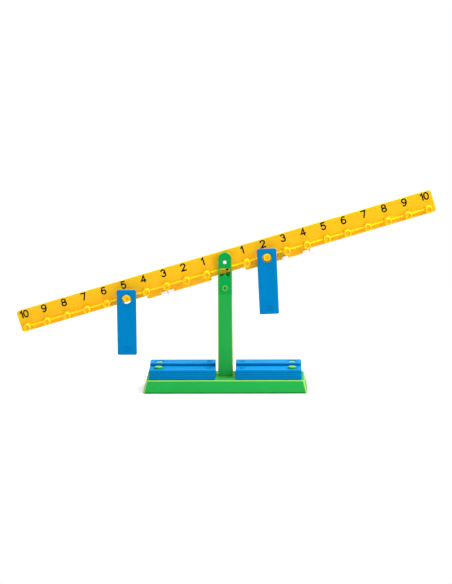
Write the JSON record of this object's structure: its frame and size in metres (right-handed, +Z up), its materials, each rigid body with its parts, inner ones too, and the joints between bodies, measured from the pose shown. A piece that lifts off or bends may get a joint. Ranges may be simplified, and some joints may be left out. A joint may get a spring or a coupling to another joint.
{
  "type": "math balance",
  "caption": "Plastic number balance: a pegged, numbered beam tilts in a forked post on a flat base; plate weights hang on the pegs and spare ones are stacked on the base.",
  "frame": {"origin": "centre of the base's underside, on the surface that the balance stands on", "axes": "+X along the beam to the viewer's right, +Y away from the viewer, +Z up"},
  "size_m": [0.6261, 0.0746, 0.2998],
  "materials": {
    "yellow_plastic": "satin moulded",
    "green_plastic": "satin moulded",
    "blue_plastic": "satin moulded",
    "white_plastic": "satin moulded"
  },
  "bodies": {
    "stand": {"base": "green_plastic", "post": "green_plastic", "post_front_plate": "green_plastic", "plate_stud": "green_plastic", "pivot_pin": "white_plastic", "storage_peg_front_left": "green_plastic", "storage_peg_rear_left": "green_plastic", "storage_peg_front_right": "green_plastic", "storage_peg_rear_right": "green_plastic"},
    "beam": {"beam": "yellow_plastic", "peg_left_1": "yellow_plastic", "peg_left_2": "yellow_plastic", "peg_left_3": "yellow_plastic", "peg_left_4": "yellow_plastic", "peg_left_5": "yellow_plastic", "peg_left_6": "yellow_plastic", "peg_left_7": "yellow_plastic", "peg_left_8": "yellow_plastic", "peg_left_9": "yellow_plastic", "peg_left_10": "yellow_plastic", "peg_right_1": "yellow_plastic", "peg_right_2": "yellow_plastic", "peg_right_3": "yellow_plastic", "peg_right_4": "yellow_plastic", "peg_right_5": "yellow_plastic", "peg_right_6": "yellow_plastic", "peg_right_7": "yellow_plastic", "peg_right_8": "yellow_plastic", "peg_right_9": "yellow_plastic", "peg_right_10": "yellow_plastic"},
    "rider_left_outer": {"rider_left_outer": "white_plastic"},
    "rider_left_inner": {"rider_left_inner": "white_plastic"},
    "rider_right_inner": {"rider_right_inner": "white_plastic"},
    "rider_right_outer": {"rider_right_outer": "white_plastic"},
    "hung_weight_left": {"hung_weight_left": "blue_plastic"},
    "hung_weight_right": {"hung_weight_right": "blue_plastic"},
    "weight_front_left_1": {"weight_front_left_1": "blue_plastic"},
    "weight_front_left_2": {"weight_front_left_2": "blue_plastic"},
    "weight_front_left_3": {"weight_front_left_3": "blue_plastic"},
    "weight_front_left_4": {"weight_front_left_4": "blue_plastic"},
    "weight_rear_left_1": {"weight_rear_left_1": "blue_plastic"},
    "weight_rear_left_2": {"weight_rear_left_2": "blue_plastic"},
    "weight_rear_left_3": {"weight_rear_left_3": "blue_plastic"},
    "weight_rear_left_4": {"weight_rear_left_4": "blue_plastic"},
    "weight_rear_left_5": {"weight_rear_left_5": "blue_plastic"},
    "weight_front_right_1": {"weight_front_right_1": "blue_plastic"},
    "weight_front_right_2": {"weight_front_right_2": "blue_plastic"},
    "weight_front_right_3": {"weight_front_right_3": "blue_plastic"},
    "weight_front_right_4": {"weight_front_right_4": "blue_plastic"},
    "weight_rear_right_1": {"weight_rear_right_1": "blue_plastic"},
    "weight_rear_right_2": {"weight_rear_right_2": "blue_plastic"},
    "weight_rear_right_3": {"weight_rear_right_3": "blue_plastic"},
    "weight_rear_right_4": {"weight_rear_right_4": "blue_plastic"},
    "weight_rear_right_5": {"weight_rear_right_5": "blue_plastic"}
  },
  "joints": [
    {"name": "beam_tilt", "type": "hinge", "parent": "stand", "child": "beam", "pos_m": [0, 0, 0.194], "axis": [0, -1, 0], "range_deg": [-32.8, 0]},
    {"name": "swing_left", "type": "hinge", "parent": "beam", "child": "hung_weight_left", "pos_m": [-0.14691, 0, 0.14064], "axis": [0, -1, 0], "range_deg": [-32.6, 65.4]},
    {"name": "swing_right", "type": "hinge", "parent": "beam", "child": "hung_weight_right", "pos_m": [0.0626, 0, 0.20231], "axis": [0, -1, 0], "range_deg": [-35, 63]},
    {"name": "rider_left_outer_slide", "type": "slide", "parent": "beam", "child": "rider_left_outer", "axis": [0.9593, 0, 0.2823], "range_m": [-0.0215, 0]},
    {"name": "rider_left_inner_slide", "type": "slide", "parent": "beam", "child": "rider_left_inner", "axis": [0.9593, 0, 0.2823], "range_m": [0, 0.0575]},
    {"name": "rider_right_inner_slide", "type": "slide", "parent": "beam", "child": "rider_right_inner", "axis": [0.9593, 0, 0.2823], "range_m": [-0.056, 0.011]},
    {"name": "rider_right_outer_slide", "type": "slide", "parent": "beam", "child": "rider_right_outer", "axis": [0.9593, 0, 0.2823], "range_m": [-0.011, 0.002]},
    {"name": "lift_front_left_1", "type": "slide", "parent": "stand", "child": "weight_front_left_1", "axis": [0, 0, 1], "range_m": [0, 0.0186]},
    {"name": "lift_front_left_2", "type": "slide", "parent": "weight_front_left_1", "child": "weight_front_left_2", "axis": [0, 0, 1], "range_m": [0, 0.015]},
    {"name": "lift_front_left_3", "type": "slide", "parent": "weight_front_left_2", "child": "weight_front_left_3", "axis": [0, 0, 1], "range_m": [0, 0.0113]},
    {"name": "lift_front_left_4", "type": "slide", "parent": "weight_front_left_3", "child": "weight_front_left_4", "axis": [0, 0, 1], "range_m": [0, 0.0077]},
    {"name": "lift_rear_left_1", "type": "slide", "parent": "stand", "child": "weight_rear_left_1", "axis": [0, 0, 1], "range_m": [0, 0.0186]},
    {"name": "lift_rear_left_2", "type": "slide", "parent": "weight_rear_left_1", "child": "weight_rear_left_2", "axis": [0, 0, 1], "range_m": [0, 0.015]},
    {"name": "lift_rear_left_3", "type": "slide", "parent": "weight_rear_left_2", "child": "weight_rear_left_3", "axis": [0, 0, 1], "range_m": [0, 0.0113]},
    {"name": "lift_rear_left_4", "type": "slide", "parent": "weight_rear_left_3", "child": "weight_rear_left_4", "axis": [0, 0, 1], "range_m": [0, 0.0077]},
    {"name": "lift_rear_left_5", "type": "slide", "parent": "weight_rear_left_4", "child": "weight_rear_left_5", "axis": [0, 0, 1], "range_m": [0, 0.004]},
    {"name": "lift_front_right_1", "type": "slide", "parent": "stand", "child": "weight_front_right_1", "axis": [0, 0, 1], "range_m": [0, 0.0186]},
    {"name": "lift_front_right_2", "type": "slide", "parent": "weight_front_right_1", "child": "weight_front_right_2", "axis": [0, 0, 1], "range_m": [0, 0.015]},
    {"name": "lift_front_right_3", "type": "slide", "parent": "weight_front_right_2", "child": "weight_front_right_3", "axis": [0, 0, 1], "range_m": [0, 0.0113]},
    {"name": "lift_front_right_4", "type": "slide", "parent": "weight_front_right_3", "child": "weight_front_right_4", "axis": [0, 0, 1], "range_m": [0, 0.0077]},
    {"name": "lift_rear_right_1", "type": "slide", "parent": "stand", "child": "weight_rear_right_1", "axis": [0, 0, 1], "range_m": [0, 0.0186]},
    {"name": "lift_rear_right_2", "type": "slide", "parent": "weight_rear_right_1", "child": "weight_rear_right_2", "axis": [0, 0, 1], "range_m": [0, 0.015]},
    {"name": "lift_rear_right_3", "type": "slide", "parent": "weight_rear_right_2", "child": "weight_rear_right_3", "axis": [0, 0, 1], "range_m": [0, 0.0113]},
    {"name": "lift_rear_right_4", "type": "slide", "parent": "weight_rear_right_3", "child": "weight_rear_right_4", "axis": [0, 0, 1], "range_m": [0, 0.0077]},
    {"name": "lift_rear_right_5", "type": "slide", "parent": "weight_rear_right_4", "child": "weight_rear_right_5", "axis": [0, 0, 1], "range_m": [0, 0.004]}
  ]
}
